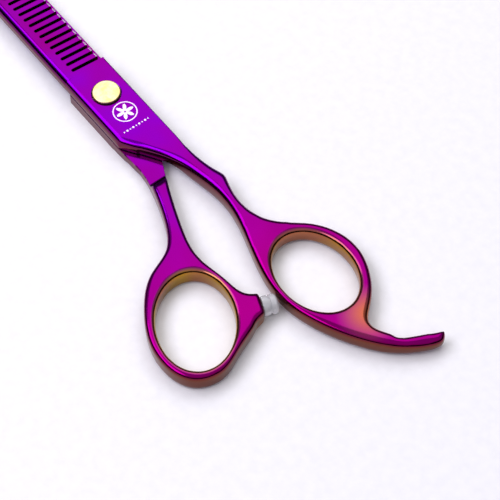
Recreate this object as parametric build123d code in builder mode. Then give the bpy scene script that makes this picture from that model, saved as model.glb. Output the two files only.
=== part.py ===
"""Thinning shears with an offset, tanged handle: two forged halves on a ball-bearing pivot.

Frame: millimetres, +Z up. The origin is on the pivot axis, in the plane the shears lie on.
+X points to the blade tips, +Y to the thumb ring's side. The shears are shown closed.
"""
import os
from math import cos, radians, sin

from build123d import *

# Both halves, through their thickness
half_thick = 3.25
face_gap = 0.1
comb_inner_z = half_thick + face_gap
comb_outer_z = comb_inner_z + half_thick
handle_low_z = 0.35
finger_top_z = 5.7
thumb_top_z = 5.9
reach = 60

# Blades
tip_x = 74.0
tip_thick = 1.5
taper_from_x = 42
spine_y = 6.75
body_edge_y = -6.3
heel_x = 10.75
tooth_tip_y = -5.35
straight_spine_y = -6.95
ricasso_y = 6.85
edge_heel_x = 7.4
edge_y = 5.2
bevel_wide = 4.2
bevel_high = 2.9
hollow_radius = 55.0
hollow_depth = 0.12
hollow_from_x = 14
hollow_to_x = 66

# Comb slots: evenly pitched, shallower where the blade narrows to its tip
slot_count = 25
slot_pitch = 2.43
slot_width = 1.08
slot_first_x = 11.55
slot_long = 14.0
slot_root_y = 3.1
slot_root_rise = 0.02
slot_root_drop = 0.005
slot_lean = 4.5

# Finger ring, thumb ring and the boss that carries the bumper
finger_hole_at = (-76.2, -9.4)
finger_hole_radii = (12.7, 9.6)
thumb_hole_at = (-69.2, 22.9)
thumb_hole_radii = (13.9, 9.9)
thumb_hole_turn = -31.7
boss_at = (-75.1, 6.7, 3.0)
boss_turn = -110.8

# Pivot screw, bearing, washers and nut
screw_radius = 2.0
screw_flats = 3.3
screw_low_z = 0.6
cap_radius = 3.8
cap_low_z = 6.1
cap_top_z = 7.25
cap_round = 0.35
seat_radius = 3.98
seat_z = 4.6
race_thick = 0.3
race_outer = 3.7
race_inner = 2.3
ball_radius = 0.44
ball_count = 12
ball_circle = 3.0
ball_z = 5.35
cage_outer = 3.6
cage_inner = 2.4
cage_thick = 0.5
pocket_radius = 0.49
running_play = 0.03
bushing_outer = 2.5
bushing_low_z = 3.37
glide_radius = 4.6
glide_play = 0.05
glide_low_z = 2.85
glide_top_z = 3.33
pocket_z = 1.75
nut_radius = 3.5
nut_play = 0.2
nut_top_z = 1.28
nut_web = 0.45
spanner_hole_radius = 0.5
spanner_hole_at = 2.75
spanner_hole_deep = 0.35
disc_outer = 3.3
disc_inner = 2.1
disc_low_z = 1.3
disc_thick = 0.25

# Bumper and its stud
stud_radius = 1.1
stud_in_boss = 3.0
stud_in_bumper = 3.0
bumper_radius = 2.6
bumper_waist = 2.2
bumper_long = 4.2
waist_from = 1.5
waist_to = 2.1
dome_from = 3.1


def finger_plan():
    """Outline of the comb half seen from above: blade blank, shank, ring and tang in one forging."""
    spine_end = (taper_from_x, spine_y)
    tips_end = (58, tooth_tip_y + 0.35)
    with BuildSketch(Plane.XY) as outline:
        with BuildLine():
            Line((-14.6, spine_y), spine_end)
            Spline(spine_end, (60, 5.7), (tip_x - 3, 2.6), (tip_x, -0.6), tangents=((1, 0), (-0.1, -1)))
            Spline((tip_x, -0.6), (tip_x - 2, -3.1), tips_end, tangents=((-0.1, -1), (-1, -0.03)))
            Line(tips_end, (taper_from_x, tooth_tip_y))
            Line((taper_from_x, tooth_tip_y), (heel_x, tooth_tip_y))
            Line((heel_x, tooth_tip_y), (heel_x, body_edge_y))
            Line((heel_x, body_edge_y), (-22, body_edge_y))
            Spline((-22, body_edge_y), (-32, -7.2), (-39.4, -9.5), tangents=((-1, 0), (-0.9, -0.44)))
            Spline(
                (-39.4, -9.5), (-46, -7.6), (-51.5, -7.7), (-57.3, -10.2), (-64.3, -17.6), (-70.5, -21.4),
                (-77.5, -22.4), (-85.2, -19.8), (-91.5, -14.6), (-96.6, -10.5), (-101.6, -13), (-107.6, -21.8),
                tangents=((-1, 0.42), (-0.5, -1)),
            )
            Line((-107.6, -21.8), (-108.6, -24.3))
            Line((-108.6, -24.3), (-110.7, -22.2))
            Spline(
                (-110.7, -22.2), (-109.3, -17.6), (-105.4, -11.8), (-98, -5.6), (-88.5, -0.6), (-76, 2.2),
                (-65.3, 0.6), (-55, -2.6), (-44, -4.4), (-34, -3.1), (-24.4, 0.4), (-18.5, 4.2),
                (-14.6, spine_y),
                tangents=((0.05, 1), (1, 0.62)),
            )
        make_face()
    return outline.sketch


def finger_side():
    """Side view of the comb half: the step behind the blade, the lowered ring and the thin tang."""
    with BuildSketch(Plane.XZ) as outline:
        with BuildLine():
            Line((tip_x + 2, comb_inner_z), (-26.5, comb_inner_z))
            Spline((-26.5, comb_inner_z), (-29.8, 2), (-34, handle_low_z), tangents=((-1, 0), (-1, 0)))
            Line((-34, handle_low_z), (-100, handle_low_z))
            Spline((-100, handle_low_z), (-113, 1.3), tangents=((-1, 0), (-1, 0.1)))
            Line((-113, 1.3), (-113, 4.6))
            Spline((-113, 4.6), (-98, finger_top_z), tangents=((1, 0.12), (1, 0)))
            Line((-98, finger_top_z), (-64, finger_top_z))
            Spline((-64, finger_top_z), (-40, comb_outer_z), tangents=((1, 0), (1, 0)))
            Line((-40, comb_outer_z), (taper_from_x, comb_outer_z))
            Line((taper_from_x, comb_outer_z), (tip_x + 2, comb_inner_z + tip_thick))
            Line((tip_x + 2, comb_inner_z + tip_thick), (tip_x + 2, comb_inner_z))
        make_face()
    return outline.sketch


def thumb_plan():
    """Outline of the straight half seen from above: blade, ricasso, shank and thumb ring in one forging."""
    edge_end = (taper_from_x, edge_y)
    spine_end = (taper_from_x, straight_spine_y)
    tip = (tip_x + 0.3, -0.9)
    with BuildSketch(Plane.XY) as outline:
        with BuildLine():
            Line((edge_heel_x, ricasso_y), (-14, ricasso_y))
            Spline(
                (-14, ricasso_y), (-25.5, 6.6), (-34.2, 8.9), (-42.5, 12.2), (-48.3, 16.6), (-51.3, 23.2),
                (-59.1, 31.3), (-66.8, 35.4), (-74.9, 36.3), (-82.2, 33), (-84.5, 26.1), (-81.7, 18.4),
                (-78.9, 11.7), (-78, 7.8),
                tangents=((-1, 0), (0.1, -1)),
            )
            Line((-78, 7.8), (-72.2, 5.6))
            Spline(
                (-72.2, 5.6), (-70.6, 8.1), (-64.1, 9.6), (-55.1, 11), (-44.2, 8.5), (-31, 3.1), (-20, -2.2)
            )
            Line((-20, -2.2), (-11, straight_spine_y))
            Line((-11, straight_spine_y), spine_end)
            Spline(spine_end, (62, -5.6), (tip_x - 2, -3.5), tip, tangents=((1, 0), (0.1, 1)))
            Spline(tip, (tip_x - 3, 1.4), (60, 4.2), edge_end, tangents=((-0.1, 1), (-1, 0)))
            Line(edge_end, (edge_heel_x, edge_y))
            Line((edge_heel_x, edge_y), (edge_heel_x, ricasso_y))
        make_face()
    return outline.sketch


def thumb_side():
    """Side view of the straight half: blade thinning from outside, flat ricasso, step up to the shank."""
    with BuildSketch(Plane.XZ) as outline:
        with BuildLine():
            Line((tip_x + 2, half_thick - tip_thick), (tip_x + 2, half_thick))
            Line((tip_x + 2, half_thick), (-28.6, half_thick))
            Spline((-28.6, half_thick), (-30.2, 4.6), (-32.6, thumb_top_z), tangents=((-1, 0), (-1, 0)))
            Line((-32.6, thumb_top_z), (-90, thumb_top_z))
            Line((-90, thumb_top_z), (-90, 0))
            Line((-90, 0), (taper_from_x, 0))
            Line((taper_from_x, 0), (tip_x + 2, half_thick - tip_thick))
        make_face()
    return outline.sketch


def edge_wedge():
    """Section of the metal that is ground off the outside of the straight blade, up to its edge."""
    with BuildSketch(Plane.YZ.offset(edge_heel_x)) as section:
        with BuildLine():
            Polyline(
                (edge_y - bevel_wide, 0), (edge_y, bevel_high), (edge_y + 1, bevel_high), (edge_y + 1, -1),
                (edge_y - bevel_wide, -1), close=True,
            )
        make_face()
    return section.sketch


def slot_places():
    """Centres of the comb's slots, worked out from where their round roots lie."""
    places = []
    for number in range(slot_count):
        x = slot_first_x + number * slot_pitch
        past_taper = max(0, x - taper_from_x)
        root_y = slot_root_y + slot_root_rise * (x - slot_first_x) - slot_root_drop * past_taper**2
        middle = slot_long / 2
        places.append((x - middle * sin(radians(slot_lean)), root_y - middle * cos(radians(slot_lean))))
    return places


def finish(builder, name):
    """Labels a piece and writes its file."""
    builder.part.label = name
    export_step(builder.part, f"parts/{name}.step")


os.makedirs("parts", exist_ok=True)

# Comb half: toothed blade, shank, finger ring and tang, forged in one piece
with BuildPart() as comb_blade:
    extrude(finger_plan(), amount=comb_outer_z + 1)
    extrude(finger_side(), amount=reach, both=True, mode=Mode.INTERSECT)
    with BuildSketch(Plane.XY):
        with Locations(finger_hole_at):
            Ellipse(*finger_hole_radii)
        with Locations(*slot_places()):
            SlotOverall(slot_long, slot_width, rotation=90 - slot_lean)
        Circle(bushing_outer)
    extrude(amount=comb_outer_z + 1, mode=Mode.SUBTRACT)
    with BuildSketch(Plane.XY.offset(seat_z)):
        Circle(seat_radius)
    extrude(amount=comb_outer_z, mode=Mode.SUBTRACT)
    with BuildSketch(Plane.YZ.offset(hollow_from_x)):
        with Locations((0, comb_inner_z + hollow_depth - hollow_radius)):
            Circle(hollow_radius)
    extrude(amount=hollow_to_x - hollow_from_x, mode=Mode.SUBTRACT)
finish(comb_blade, "comb_blade")

# Straight half: plain cutting blade, ricasso, shank, thumb ring and bumper boss, in one piece
boss_way = (cos(radians(boss_turn)), sin(radians(boss_turn)), 0)
boss_end = Plane(origin=boss_at, z_dir=boss_way)
boss_side = Plane(origin=boss_at, x_dir=boss_way, z_dir=(0, 0, 1))

with BuildPart() as straight_blade:
    extrude(thumb_plan(), amount=thumb_top_z + 1)
    extrude(thumb_side(), amount=reach, both=True, mode=Mode.INTERSECT)
    extrude(edge_wedge(), amount=tip_x, mode=Mode.SUBTRACT)
    with BuildSketch(Plane.YZ.offset(hollow_from_x)):
        with Locations((0, half_thick - hollow_depth + hollow_radius)):
            Circle(hollow_radius)
    extrude(amount=hollow_to_x - hollow_from_x, mode=Mode.SUBTRACT)
    with BuildSketch(Plane.XY):
        with Locations(Location((*thumb_hole_at, 0), (0, 0, thumb_hole_turn))):
            Ellipse(*thumb_hole_radii)
    extrude(amount=thumb_top_z + 1, mode=Mode.SUBTRACT)
    with BuildSketch(Plane.XY):
        Circle(screw_radius)
        Rectangle(2 * screw_radius, screw_flats, mode=Mode.INTERSECT)
    extrude(amount=half_thick, mode=Mode.SUBTRACT)
    with BuildSketch(Plane.XY):
        Circle(nut_radius + nut_play)
    extrude(amount=pocket_z, mode=Mode.SUBTRACT)
    with BuildSketch(Plane.XY.offset(glide_low_z)):
        Circle(glide_radius + glide_play)
    extrude(amount=half_thick - glide_low_z, mode=Mode.SUBTRACT)
    with BuildSketch(boss_end):
        Circle(stud_radius)
    extrude(amount=-stud_in_boss, mode=Mode.SUBTRACT)
finish(straight_blade, "straight_blade")

# Pivot screw: flat round cap, shank with two flats where it sits in the straight half
with BuildPart() as pivot_screw:
    with BuildSketch(Plane.XY.offset(screw_low_z)):
        Circle(screw_radius)
    extrude(amount=pocket_z - screw_low_z)
    with BuildSketch(Plane.XY.offset(pocket_z)):
        Circle(screw_radius)
        Rectangle(2 * screw_radius, screw_flats, mode=Mode.INTERSECT)
    extrude(amount=glide_low_z - pocket_z)
    with BuildSketch(Plane.XY.offset(glide_low_z)):
        Circle(screw_radius)
    extrude(amount=cap_low_z - glide_low_z)
    with BuildSketch(Plane.XY.offset(cap_low_z)):
        Circle(cap_radius)
    extrude(amount=cap_top_z - cap_low_z)
    fillet(pivot_screw.edges().sort_by(Axis.Z)[-1], radius=cap_round)
finish(pivot_screw, "pivot_screw")

# Bushing: a plain sleeve in the comb half, which turns on the screw
with BuildPart() as pivot_bushing:
    with BuildSketch(Plane.XY.offset(bushing_low_z)):
        Circle(bushing_outer)
        Circle(screw_radius + running_play, mode=Mode.SUBTRACT)
    extrude(amount=seat_z - bushing_low_z)
finish(pivot_bushing, "pivot_bushing")

# Thrust bearing under the cap: lower race, caged balls, upper race
with BuildPart() as lower_race:
    with BuildSketch(Plane.XY.offset(seat_z)):
        Circle(race_outer)
        Circle(race_inner, mode=Mode.SUBTRACT)
    extrude(amount=race_thick)
finish(lower_race, "lower_race")

with BuildPart() as upper_race:
    with BuildSketch(Plane.XY.offset(cap_low_z - race_thick)):
        Circle(race_outer)
        Circle(screw_radius, mode=Mode.SUBTRACT)
    extrude(amount=race_thick)
finish(upper_race, "upper_race")

with BuildPart() as ball_cage:
    with BuildSketch(Plane.XY.offset(ball_z - cage_thick / 2)):
        Circle(cage_outer)
        Circle(cage_inner, mode=Mode.SUBTRACT)
        with PolarLocations(ball_circle, ball_count):
            Circle(pocket_radius, mode=Mode.SUBTRACT)
    extrude(amount=cage_thick)
finish(ball_cage, "ball_cage")

with BuildPart() as bearing_balls:
    with Locations(Plane.XY.offset(ball_z)):
        with PolarLocations(ball_circle, ball_count):
            Sphere(ball_radius)
finish(bearing_balls, "bearing_balls")

# Glide washer: thin slippery ring let into the straight half, which the comb half slides on
with BuildPart() as glide_washer:
    with BuildSketch(Plane.XY.offset(glide_low_z)):
        Circle(glide_radius)
        Circle(screw_radius, mode=Mode.SUBTRACT)
    extrude(amount=glide_top_z - glide_low_z)
finish(glide_washer, "glide_washer")

# Spring disc: a shallow cone between the nut and the floor of its pocket
with BuildPart() as spring_disc:
    with BuildSketch(Plane.XZ):
        with BuildLine():
            Polyline(
                (disc_inner, pocket_z - disc_thick), (disc_outer, disc_low_z),
                (disc_outer, disc_low_z + disc_thick), (disc_inner, pocket_z), close=True,
            )
        make_face()
    revolve(axis=Axis.Z)
finish(spring_disc, "spring_disc")

# Tension nut: closed round nut, flush with the back, with two holes for a pin spanner
with BuildPart() as tension_nut:
    with BuildSketch(Plane.XY):
        Circle(nut_radius)
    extrude(amount=nut_top_z)
    with BuildSketch(Plane.XY.offset(nut_web)):
        Circle(screw_radius + running_play)
    extrude(amount=nut_top_z, mode=Mode.SUBTRACT)
    with BuildSketch(Plane.XY):
        with PolarLocations(spanner_hole_at, 2):
            Circle(spanner_hole_radius)
    extrude(amount=spanner_hole_deep, mode=Mode.SUBTRACT)
finish(tension_nut, "tension_nut")

# Bumper stud: steel pin, half in the boss and half in the bumper
with BuildPart() as bumper_stud:
    with BuildSketch(boss_end.offset(-stud_in_boss)):
        Circle(stud_radius)
    extrude(amount=stud_in_boss + stud_in_bumper)
finish(bumper_stud, "bumper_stud")

# Bumper: clear rubber with one groove and a domed end, pushed on the stud
with BuildPart() as silencer_bumper:
    with BuildSketch(boss_side):
        with BuildLine():
            Polyline(
                (dome_from, bumper_radius), (waist_to, bumper_radius), (waist_to, bumper_waist),
                (waist_from, bumper_waist), (waist_from, bumper_radius), (0, bumper_radius),
                (0, stud_radius), (stud_in_bumper, stud_radius), (stud_in_bumper, 0), (bumper_long, 0),
            )
            EllipticalCenterArc(
                (dome_from, 0), bumper_long - dome_from, bumper_radius, start_angle=0, arc_size=90
            )
        make_face()
    revolve(axis=Axis(boss_at, boss_way))
finish(silencer_bumper, "silencer_bumper")
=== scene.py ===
"""Thinning shears with a purple vapour coating: the visual model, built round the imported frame.

Everything is in metres in the frame's own axes: +X to the blade tips, +Y to the thumb ring, +Z up.
"""
import math

import bmesh
import bpy
from mathutils import Matrix, Vector


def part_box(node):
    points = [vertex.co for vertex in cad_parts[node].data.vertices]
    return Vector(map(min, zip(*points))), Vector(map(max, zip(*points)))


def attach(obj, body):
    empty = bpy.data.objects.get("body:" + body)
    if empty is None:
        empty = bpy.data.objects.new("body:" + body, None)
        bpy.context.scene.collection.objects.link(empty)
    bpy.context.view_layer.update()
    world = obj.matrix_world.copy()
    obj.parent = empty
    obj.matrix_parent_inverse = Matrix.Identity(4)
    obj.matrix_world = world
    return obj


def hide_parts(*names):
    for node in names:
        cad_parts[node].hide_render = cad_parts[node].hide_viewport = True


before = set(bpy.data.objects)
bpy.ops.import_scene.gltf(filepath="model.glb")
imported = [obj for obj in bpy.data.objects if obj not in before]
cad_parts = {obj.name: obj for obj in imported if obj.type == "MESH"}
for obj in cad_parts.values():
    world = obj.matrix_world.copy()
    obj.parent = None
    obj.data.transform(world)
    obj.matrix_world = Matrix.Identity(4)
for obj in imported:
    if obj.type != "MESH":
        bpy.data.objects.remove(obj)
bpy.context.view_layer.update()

# ---------------------------------------------------------------------------------------------
# Studio: a camera on a stand, looking down on the shears from the handle end, over a white
# sheet of card. A wide softbox hangs behind the shears and another one over the thumb side.
# The room's near walls are dark, which is what draws the black lines along polished steel.
MM = 0.001
aim = Vector((-58.7, -2.3, 0.0)) * MM
camera_distance = 480 * MM
camera_height_angle = math.radians(58.0)
camera_heading = math.radians(-38.0)
lens_mm = 135.8

away = Vector((math.cos(camera_heading), math.sin(camera_heading), 0))
look = away * math.cos(camera_height_angle) - Vector((0, 0, math.sin(camera_height_angle)))
camera_data = bpy.data.cameras.new("camera")
camera_data.lens = lens_mm
camera_data.sensor_width = 36
camera = bpy.data.objects.new("camera", camera_data)
camera.location = aim - look * camera_distance
camera.rotation_euler = look.to_track_quat("-Z", "Y").to_euler()
bpy.context.scene.collection.objects.link(camera)
bpy.context.scene.camera = camera
bpy.context.scene.view_settings.view_transform = "Standard"


def linear(hex_colour):
    """An sRGB hex colour as linear red, green, blue and alpha."""
    parts = [int(hex_colour[i : i + 2], 16) / 255 for i in (1, 3, 5)]
    return (*[c / 12.92 if c <= 0.04045 else ((c + 0.055) / 1.055) ** 2.4 for c in parts], 1)


def node(tree, kind, links=(), stops=(), **settings):
    """Adds a node with its settings. Each link is (input name or number, output socket or value).

    A Color Ramp also has stops, each a (position, hex colour).
    """
    made = tree.nodes.new(kind)
    for name, value in settings.items():
        setattr(made, name, value)
    for socket, source in links:
        if isinstance(source, bpy.types.NodeSocket):
            tree.links.new(source, made.inputs[socket])
        else:
            made.inputs[socket].default_value = source
    if stops:
        elements = made.color_ramp.elements
        while len(elements) < len(stops):
            elements.new(0.5)
        for element, (position, colour) in zip(elements, stops):
            element.position = position
            element.color = linear(colour)
    return made


def shader(name):
    """A new material with its own tree, its Principled BSDF and its Object coordinates."""
    material = bpy.data.materials.new(name)
    material.use_nodes = True
    tree = material.node_tree
    return material, tree, tree.nodes["Principled BSDF"], node(tree, "ShaderNodeTexCoord")


def softbox(name, place, size, target, power, colour="#ffffff"):
    """A rectangular area light, aimed at a point."""
    data = bpy.data.lights.new(name, "AREA")
    data.shape = "RECTANGLE"
    data.size, data.size_y = size
    data.energy = power
    data.color = linear(colour)[:3]
    lamp = bpy.data.objects.new(name, data)
    lamp.location = place
    lamp.rotation_euler = (Vector(target) - Vector(place)).to_track_quat("-Z", "Y").to_euler()
    bpy.context.scene.collection.objects.link(lamp)


def heading(angle_from_away, elevation, distance):
    """A place round the shears: angle 0 is behind them as the camera sees it, 90 is to its left."""
    turned = camera_heading + math.radians(angle_from_away)
    flat = math.cos(math.radians(elevation)) * distance
    return aim + Vector((math.cos(turned) * flat, math.sin(turned) * flat,
                         math.sin(math.radians(elevation)) * distance))


softbox_elevation = 56
softbox_distance = 0.9
softbox("back_softbox", heading(0, softbox_elevation, softbox_distance), (0.75, 0.5), aim, 2.1)
softbox("left_softbox", heading(92, softbox_elevation, softbox_distance), (0.85, 0.42), aim, 4.4, "#f4f0ff")

world = bpy.data.worlds.new("dark_room")
bpy.context.scene.world = world
world.use_nodes = True
room = world.node_tree
direction = node(room, "ShaderNodeTexCoord").outputs["Generated"]
height = node(room, "ShaderNodeSeparateXYZ", [(0, direction)]).outputs["Z"]
ceiling = [(0.68, "#d8d4e0"), (1.0, "#ffffff")]
near_walls = node(room, "ShaderNodeValToRGB", [("Fac", height)],
                  stops=[(0.0, "#0a0a0c"), (0.5, "#101014"), *ceiling]).outputs["Color"]
far_walls = node(room, "ShaderNodeValToRGB", [("Fac", height)],
                 stops=[(0.0, "#3c3640"), (0.5, "#6c6470"), *ceiling]).outputs["Color"]
behind = node(room, "ShaderNodeVectorMath", [(0, direction), (1, away)], operation="DOT_PRODUCT")
far_share = node(room, "ShaderNodeMapRange", [
    ("Value", behind.outputs["Value"]), ("From Min", 0.0), ("From Max", 0.6)]).outputs["Result"]
walls = node(room, "ShaderNodeMix", [(0, far_share), (6, near_walls), (7, far_walls)],
             data_type="RGBA").outputs[2]
background = room.nodes["Background"]
room.links.new(walls, background.inputs["Color"])
background.inputs["Strength"].default_value = 0.95

bpy.ops.object.select_all(action="DESELECT")
bpy.ops.mesh.primitive_plane_add(size=3.0, location=(aim.x, aim.y, 0))
floor = bpy.context.object
floor.name = "card_floor"
floor_material, tree, bsdf, place = shader("white_card")
# Matt, uncoated card. Its fibres are drawn far coarser than they are, so that they show at all.
fibre_mm = 2.5
grain = node(tree, "ShaderNodeTexNoise", [
    ("Vector", place.outputs["Object"]), ("Scale", 1 / (fibre_mm * MM))])
card_colour = node(tree, "ShaderNodeValToRGB", [("Fac", grain.outputs["Fac"])],
                   stops=[(0.3, "#f6f6f7"), (0.7, "#fbfbfc")])
tree.links.new(card_colour.outputs["Color"], bsdf.inputs["Base Color"])
bsdf.inputs["Roughness"].default_value = 0.9
bsdf.inputs["Specular IOR Level"].default_value = 0.1
floor.data.materials.append(floor_material)

# ---------------------------------------------------------------------------------------------
# Comb half: one forging of stainless steel with the toothed blade, the shank, the finger ring
# and the tang. Its edges are worn round on a belt, its slots are milled, and it is mirror
# polished and coated in purple by vapour. Sizes are in millimetres.
finger_hole_centre = Vector((-76.2, -9.4))
finger_hole_radii = Vector((12.7, 9.6))
comb_join_x = 9.6
comb_passes = 260
heel_x = 10.9
taper_from_x = 42.0
shank_from_x = -28.0
rings_from_x = -66.0
outer_from_z = 4.0
inner_below_z = 4.4
spine_from_y = 5.0
nose_from_x = 45.0
nose_spine_y = 4.5
nose_slope = 0.16
tooth_ends_y = -4.4
bare_tips_y = -4.95
bare_tips_rise = 0.022
seat_crisp_to = 4.3
seat_soft_from = 5.2
spine_round = 2.1
tooth_tip_round = 0.4
merge_gap = 0.002
voxel = 0.25
spare = 6.0
sharp_from = math.radians(28)
upright_share = 0.7
flat_within = math.radians(0.4)
smooth_under = math.radians(35)


def merged_copy(node_name, piece_name):
    """A copy of a CAD node's mesh as a new piece, with its doubled points merged."""
    bpy.ops.object.select_all(action="DESELECT")
    piece = bpy.data.objects.new(piece_name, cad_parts[node_name].data.copy())
    bpy.context.scene.collection.objects.link(piece)
    piece.data.materials.clear()
    piece.select_set(True)
    bpy.context.view_layer.objects.active = piece
    if piece.data.has_custom_normals:
        bpy.ops.mesh.customdata_custom_splitnormals_clear()
    bpy.ops.object.mode_set(mode="EDIT")
    bpy.ops.mesh.select_all(action="SELECT")
    bpy.ops.mesh.remove_doubles(threshold=merge_gap * MM)
    bpy.ops.object.mode_set(mode="OBJECT")
    return piece


def cut_at(piece, x, keep_handle, close):
    """Cuts a piece straight across and keeps its handle's side or its blade's side."""
    bpy.ops.object.select_all(action="DESELECT")
    piece.select_set(True)
    bpy.context.view_layer.objects.active = piece
    bpy.ops.object.mode_set(mode="EDIT")
    bpy.ops.mesh.select_all(action="SELECT")
    bpy.ops.mesh.bisect(plane_co=(x * MM, 0, 0), plane_no=(1, 0, 0), use_fill=close,
                        clear_outer=keep_handle, clear_inner=not keep_handle)
    bpy.ops.object.mode_set(mode="OBJECT")


def apply_modifier(piece, kind, **settings):
    """Adds a modifier with its settings to the active piece and applies it."""
    made = piece.modifiers.new(kind.lower(), kind)
    for name, value in settings.items():
        setattr(made, name, value)
    bpy.ops.object.modifier_apply(modifier=made.name)


def between(value, low, high):
    """0 at low, 1 at high, smooth in between."""
    t = min(1, max(0, (value - low) / (high - low)))
    return t * t * (3 - 2 * t)


def belt_rounded(node_name, piece_name, join_x, softness, passes):
    """The handle of one half, up to join_x, with its edges worn round by so many belt passes.

    Softness gives how much each point is worn, from 0 to 1. The cut end is worn too, so some
    spare length is left on for the passes and cut off after them.
    """
    handle = merged_copy(node_name, piece_name)
    cut_at(handle, join_x + spare, True, True)
    apply_modifier(handle, "REMESH", mode="VOXEL", voxel_size=voxel * MM)
    belt = handle.vertex_groups.new(name="belt")
    for vertex in handle.data.vertices:
        belt.add([vertex.index], softness(vertex.co / MM), "REPLACE")
    apply_modifier(handle, "SMOOTH", factor=0.5, iterations=passes, vertex_group="belt")
    cut_at(handle, join_x, True, False)
    return handle


def joined(handle, blade):
    """One half, out of its handle and its blade, shaded smooth with flat faces kept flat."""
    bpy.ops.object.select_all(action="DESELECT")
    blade.select_set(True)
    handle.select_set(True)
    bpy.context.view_layer.objects.active = handle
    bpy.ops.object.join()
    bpy.ops.object.shade_smooth_by_angle(angle=smooth_under)
    apply_modifier(handle, "WEIGHTED_NORMAL", keep_sharp=True)
    return handle


def comb_softness(point):
    """The spine's side, the shank and the ring are round; the inner face and the pivot stay crisp."""
    middle_y = 3 - 9.5 * between(-point.x, 13, 36)
    spine_side = max(between(point.y - middle_y, 0.2, 1.6), between(-point.x, 22, 39))
    inner_face = between(-point.x, 28, 34) if point.z < inner_below_z else 1
    ring = 1 - 0.45 * between(-point.x, 45, 62)
    seat = between(math.hypot(point.x, point.y), seat_crisp_to, seat_soft_from)
    return ring * spine_side * inner_face * seat


comb = belt_rounded("comb_blade", "comb_half", comb_join_x, comb_softness, comb_passes)
teeth = merged_copy("comb_blade", "comb_teeth")
cut_at(teeth, comb_join_x, False, False)
bpy.ops.object.mode_set(mode="EDIT")
bpy.ops.mesh.select_all(action="SELECT")
bpy.ops.mesh.dissolve_limited(angle_limit=flat_within)
bpy.ops.object.mode_set(mode="OBJECT")
mesh = bmesh.new()
mesh.from_mesh(teeth.data)
weights = mesh.edges.layers.float.new("bevel_weight_edge")
for edge in mesh.edges:
    x, y, z = (edge.verts[0].co + edge.verts[1].co) / 2 / MM
    upright = abs(edge.verts[0].co.z - edge.verts[1].co.z) > upright_share * edge.calc_length()
    open_edge = len(edge.link_faces) != 2
    if open_edge or edge.calc_face_angle() <= sharp_from or upright or z <= outer_from_z:
        continue
    if y > spine_from_y or (x > nose_from_x and y > nose_spine_y - nose_slope * (x - nose_from_x)):
        edge[weights] = 1 - 0.6 * between(x, 35, 72)
    elif x > heel_x and y < tooth_ends_y:
        edge[weights] = tooth_tip_round / spine_round
mesh.to_mesh(teeth.data)
mesh.free()
apply_modifier(teeth, "BEVEL", limit_method="WEIGHT", width=spine_round * MM, segments=6,
               use_clamp_overlap=False)
comb = joined(comb, teeth)
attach(comb, "finger_half")
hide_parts("comb_blade")


def mark(piece, name, share_at):
    """Stores on each vertex how much of something is there, from 0 to 1, for its material to read."""
    shares = piece.data.attributes.new(name, "FLOAT", "POINT")
    for vertex in piece.data.vertices:
        shares.data[vertex.index].value = share_at(vertex.co / MM)


def hole_wall(point, centre, radii, turn):
    """1 on the wall of an elliptical hole, fading to 0 where its rounded edge meets the flat face."""
    across = Matrix.Rotation(-turn, 2) @ (Vector((point.x, point.y)) - centre)
    out = math.hypot(across.x / radii.x, across.y / radii.y) - 1
    return 1 - between(out * radii.y, 0.15, 1.0)


def warm_root(point):
    """1 at the root of the tang and under the bumper's boss, where the coating is thin."""
    tang = (point - Vector((-94, -12, 5))).length
    boss = math.hypot(point.x + 74.5, point.y - 8.5) + 2.2 * max(0, point.z - 2)
    return max(0.75 * (1 - between(tang, 0, 9)), 1 - between(boss, 2, 9))


mark(comb, "hole_wall", lambda point: hole_wall(point, finger_hole_centre, finger_hole_radii, 0))
mark(comb, "warm", warm_root)

# The teeth's tips are ground after the coating, which leaves them bare: the second material.
for face in comb.data.polygons:
    x, y, z = face.center / MM
    tips_y = bare_tips_y + bare_tips_rise * max(0, x - taper_from_x)
    face.material_index = int(x > heel_x and y < tips_y and z > outer_from_z)


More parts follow.
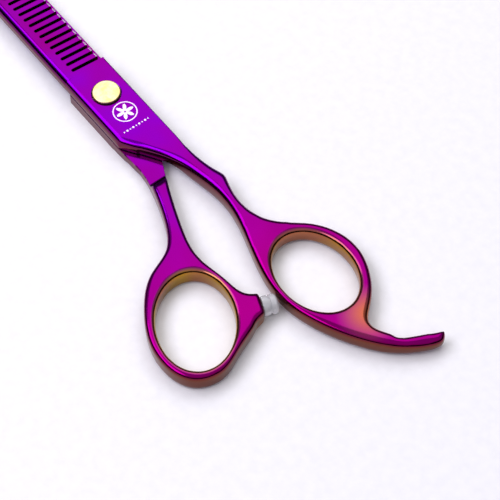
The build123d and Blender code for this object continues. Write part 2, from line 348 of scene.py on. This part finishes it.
def coated_steel(name):
    """Mirror-polished stainless steel under a purple titanium vapour coating.

    The coating is thickest, and violet, on the faces that lay open to the vapour. It thins to
    magenta and rose on steep walls and to gold inside the rings.
    """
    material, tree, bsdf, place = shader(name)
    normal = node(tree, "ShaderNodeSeparateXYZ", [(0, place.outputs["Normal"])])
    steep = node(tree, "ShaderNodeMath", [(0, normal.outputs["Z"])], operation="ABSOLUTE").outputs[0]
    cloud_mm = 40 / 3
    cloud = node(tree, "ShaderNodeTexNoise", [
        ("Vector", place.outputs["Object"]), ("Scale", 1 / (cloud_mm * MM)), ("Detail", 1)])
    shifted = node(tree, "ShaderNodeMath", [(0, cloud.outputs["Fac"]), (1, 0.3), (2, -0.3)],
                   operation="MULTIPLY_ADD").outputs[0]
    level = node(tree, "ShaderNodeMath", [(0, steep), (1, shifted)], operation="ADD").outputs[0]
    blade_colour = node(tree, "ShaderNodeValToRGB", [("Fac", level)], stops=[
        (0.0, "#6a2c3c"), (0.25, "#641c50"), (0.55, "#700080"),
        (0.76, "#5e0090"), (0.86, "#680074"), (0.96, "#680058"),
    ]).outputs["Color"]
    ring_colour = node(tree, "ShaderNodeValToRGB", [("Fac", level)], stops=[
        (0.0, "#6e3828"), (0.25, "#6c2038"), (0.55, "#740044"), (0.76, "#78005c"), (0.96, "#680058"),
    ]).outputs["Color"]
    along = node(tree, "ShaderNodeSeparateXYZ", [(0, place.outputs["Object"])]).outputs["X"]
    to_rings = node(tree, "ShaderNodeMapRange", [
        ("Value", along), ("From Min", shank_from_x * MM), ("From Max", rings_from_x * MM),
    ], clamp=True).outputs["Result"]
    coat = node(tree, "ShaderNodeMix", [(0, to_rings), (6, blade_colour), (7, ring_colour)],
                data_type="RGBA").outputs[2]
    warm = node(tree, "ShaderNodeAttribute", attribute_name="warm").outputs["Fac"]
    warmed = node(tree, "ShaderNodeMix", [(0, warm), (6, coat), (7, linear("#a05810"))],
                  data_type="RGBA").outputs[2]
    wall = node(tree, "ShaderNodeAttribute", attribute_name="hole_wall").outputs["Fac"]
    gold = node(tree, "ShaderNodeValToRGB", [("Fac", cloud.outputs["Fac"])],
                stops=[(0.4, "#a07820"), (0.6, "#985c40")]).outputs["Color"]
    shown = node(tree, "ShaderNodeMix", [(0, wall), (6, warmed), (7, gold)],
                 data_type="RGBA").outputs[2]
    tree.links.new(shown, bsdf.inputs["Base Color"])
    bsdf.inputs["Metallic"].default_value = 1.0
    bsdf.inputs["Roughness"].default_value = 0.14
    return material


def metal(name, light, dark, roughness, grain_mm):
    """A plated or ground metal whose colour and gloss wander a little, at a grain size in mm.

    The grain is drawn coarser than real polishing lines are, so that it shows.
    """
    material, tree, bsdf, place = shader(name)
    grain = node(tree, "ShaderNodeTexNoise",
                 [("Vector", place.outputs["Object"]), ("Scale", 1 / (grain_mm * MM)), ("Detail", 3)])
    colour = node(tree, "ShaderNodeValToRGB", [("Fac", grain.outputs["Fac"])],
                  stops=[(0.35, dark), (0.65, light)])
    tree.links.new(colour.outputs["Color"], bsdf.inputs["Base Color"])
    gloss = node(tree, "ShaderNodeMath", [(0, grain.outputs["Fac"]), (1, 0.12), (2, roughness - 0.06)],
                 operation="MULTIPLY_ADD").outputs[0]
    tree.links.new(gloss, bsdf.inputs["Roughness"])
    bsdf.inputs["Metallic"].default_value = 1.0
    return material


purple_steel = coated_steel("purple_vapour_coated_steel")
comb.data.materials.append(purple_steel)
comb.data.materials.append(metal("ground_bare_steel", "#dcd6dc", "#c8c0c8", 0.3, 0.3))

# ---------------------------------------------------------------------------------------------
# Straight half: the plain cutting blade with the shank, the thumb ring and the bumper's boss,
# forged, polished and coated in the same way as the comb half.
thumb_hole_centre = Vector((-69.2, 22.9))
thumb_hole_radii = Vector((13.9, 9.9))
thumb_hole_turn = math.radians(-31.7)
straight_join_x = -12.0
straight_passes = 140


def straight_softness(point):
    """The shank and the ring are round; the ricasso's flat and the blade stay crisp."""
    under = 0.35 * between(2.6 - point.z, 0, 1) * between(-point.x, 13, 20)
    return max(between(-point.x, 29.5, 33), under)


straight = belt_rounded(
    "straight_blade", "straight_half", straight_join_x, straight_softness, straight_passes)
blade = merged_copy("straight_blade", "straight_blade_end")
cut_at(blade, straight_join_x, False, False)
straight = joined(straight, blade)
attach(straight, "thumb_half")
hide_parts("straight_blade")
mark(straight, "hole_wall",
     lambda point: hole_wall(point, thumb_hole_centre, thumb_hole_radii, thumb_hole_turn))
mark(straight, "warm", warm_root)
straight.data.materials.append(purple_steel)

# ---------------------------------------------------------------------------------------------
# Pivot screw and tension nut: turned steel with a gold-coloured nitride coating. The cap's face
# is turned, then brushed round, so it is satin with fine rings.


def finish_node(node_name, material):
    """Gives a CAD node that keeps its own shape a finished material."""
    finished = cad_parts[node_name]
    finished.data.materials.clear()
    finished.data.materials.append(material)


gold_coated = metal("satin_gold_nitride_coated_steel", "#e2d0a8", "#dabc7c", 0.34, 1.6)
finish_node("pivot_screw", gold_coated)
finish_node("tension_nut", gold_coated)

# ---------------------------------------------------------------------------------------------
# Bearing and washers: lapped bearing-steel races and balls in a stamped brass cage, a nylon
# bushing, a glide washer skived from PTFE and a blued spring disc.


def plastic(name, light, dark, roughness, grain_mm):
    """A natural, unpainted plastic, slightly cloudy."""
    material, tree, bsdf, place = shader(name)
    grain = node(tree, "ShaderNodeTexNoise",
                 [("Vector", place.outputs["Object"]), ("Scale", 1 / (grain_mm * MM)), ("Detail", 2)])
    colour = node(tree, "ShaderNodeValToRGB", [("Fac", grain.outputs["Fac"])],
                  stops=[(0.3, dark), (0.7, light)])
    tree.links.new(colour.outputs["Color"], bsdf.inputs["Base Color"])
    bsdf.inputs["Roughness"].default_value = roughness
    return material


lapped_steel = metal("lapped_bearing_steel", "#d4d6da", "#c6c8cd", 0.12, 0.5)
for race in ("upper_race", "lower_race", "bearing_balls"):
    finish_node(race, lapped_steel)
finish_node("ball_cage", metal("stamped_brass", "#d8b46a", "#c49a50", 0.3, 0.8))
finish_node("spring_disc", metal("blued_spring_steel", "#5a6078", "#4a4e62", 0.3, 0.8))
finish_node("pivot_bushing", plastic("natural_nylon", "#efeadb", "#e6dfcc", 0.45, 0.6))
finish_node("glide_washer", plastic("skived_ptfe", "#f2f2ef", "#e9e9e6", 0.5, 0.7))

# ---------------------------------------------------------------------------------------------
# Bumper: moulded clear silicone rubber, frosted a little by use, pushed on a stainless stud that
# shows through it. The stud is a plain pin, without the thread it would have.
rubber, tree, bsdf, place = shader("clear_silicone_rubber")
haze_mm = 2 / 3
haze = node(tree, "ShaderNodeTexNoise", [
    ("Vector", place.outputs["Object"]), ("Scale", 1 / (haze_mm * MM)), ("Detail", 3)])
haze_colour = node(tree, "ShaderNodeValToRGB", [("Fac", haze.outputs["Fac"])],
                   stops=[(0.3, "#f4f4f8"), (0.7, "#ffffff")])
tree.links.new(haze_colour.outputs["Color"], bsdf.inputs["Base Color"])
bsdf.inputs["Transmission Weight"].default_value = 0.55
bsdf.inputs["Roughness"].default_value = 0.18
bsdf.inputs["IOR"].default_value = 1.41
finish_node("silencer_bumper", rubber)
finish_node("bumper_stud", metal("threaded_stainless_steel", "#b8b8bc", "#8c8c92", 0.35, 0.4))

# ---------------------------------------------------------------------------------------------
# Etched ornament: a plain ring with a six-petal rosette and a row of dots, etched through the
# coating to bare steel. Each mark is a thin disc that lies on the comb half's flat face.
ring_centre = Vector((-8.0, -0.3))
ring_outer = 3.3
ring_band = 0.3
petal_long = 2.3
petal_wide = 0.95
etch_thick = 0.02
comb_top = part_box("comb_blade")[1].z / MM
dot_x = -13.4
dot_pitch = 0.95


def etched_disc(centre, radius, squash_to=1.0, turn=0.0, sides=32):
    """Adds a thin disc, or an ellipse, that lies on the comb half's flat outer face."""
    bpy.ops.object.select_all(action="DESELECT")
    bpy.ops.mesh.primitive_cylinder_add(
        vertices=sides, radius=radius * MM, depth=etch_thick * MM,
        location=(centre.x * MM, centre.y * MM, comb_top * MM), rotation=(0, 0, turn))
    disc = bpy.context.object
    disc.scale.y = squash_to
    bpy.ops.object.transform_apply(location=True, rotation=True, scale=True)
    return disc


ring = etched_disc(ring_centre, ring_outer, sides=64)
bpy.context.tool_settings.mesh_select_mode = (False, False, True)
bpy.ops.object.mode_set(mode="EDIT")
bpy.ops.mesh.select_all(action="DESELECT")
bpy.ops.object.mode_set(mode="OBJECT")
for face in ring.data.polygons:
    face.select = abs(face.normal.z) > 0.9
bpy.ops.object.mode_set(mode="EDIT")
bpy.ops.mesh.inset(thickness=ring_band * MM)
bpy.ops.mesh.delete(type="FACE")
bpy.ops.object.mode_set(mode="OBJECT")
marks = [ring]
for petal in range(6):
    turn = math.radians(30 + 60 * petal)
    middle = ring_centre + Vector((math.cos(turn), math.sin(turn))) * (petal_long / 2 + 0.25)
    marks.append(etched_disc(middle, petal_long / 2, petal_wide / petal_long, turn))
for dot in range(9):
    marks.append(etched_disc(Vector((dot_x, 3.8 - dot * dot_pitch)), 0.3 if dot % 2 else 0.2, sides=16))
bpy.ops.object.select_all(action="DESELECT")
for one in marks:
    one.select_set(True)
bpy.context.view_layer.objects.active = ring
bpy.ops.object.join()
ring.name = "etched_rosette"
ring.data.materials.append(metal("etched_bare_steel", "#e4dce8", "#cfc2d6", 0.42, 0.3))
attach(ring, "finger_half")
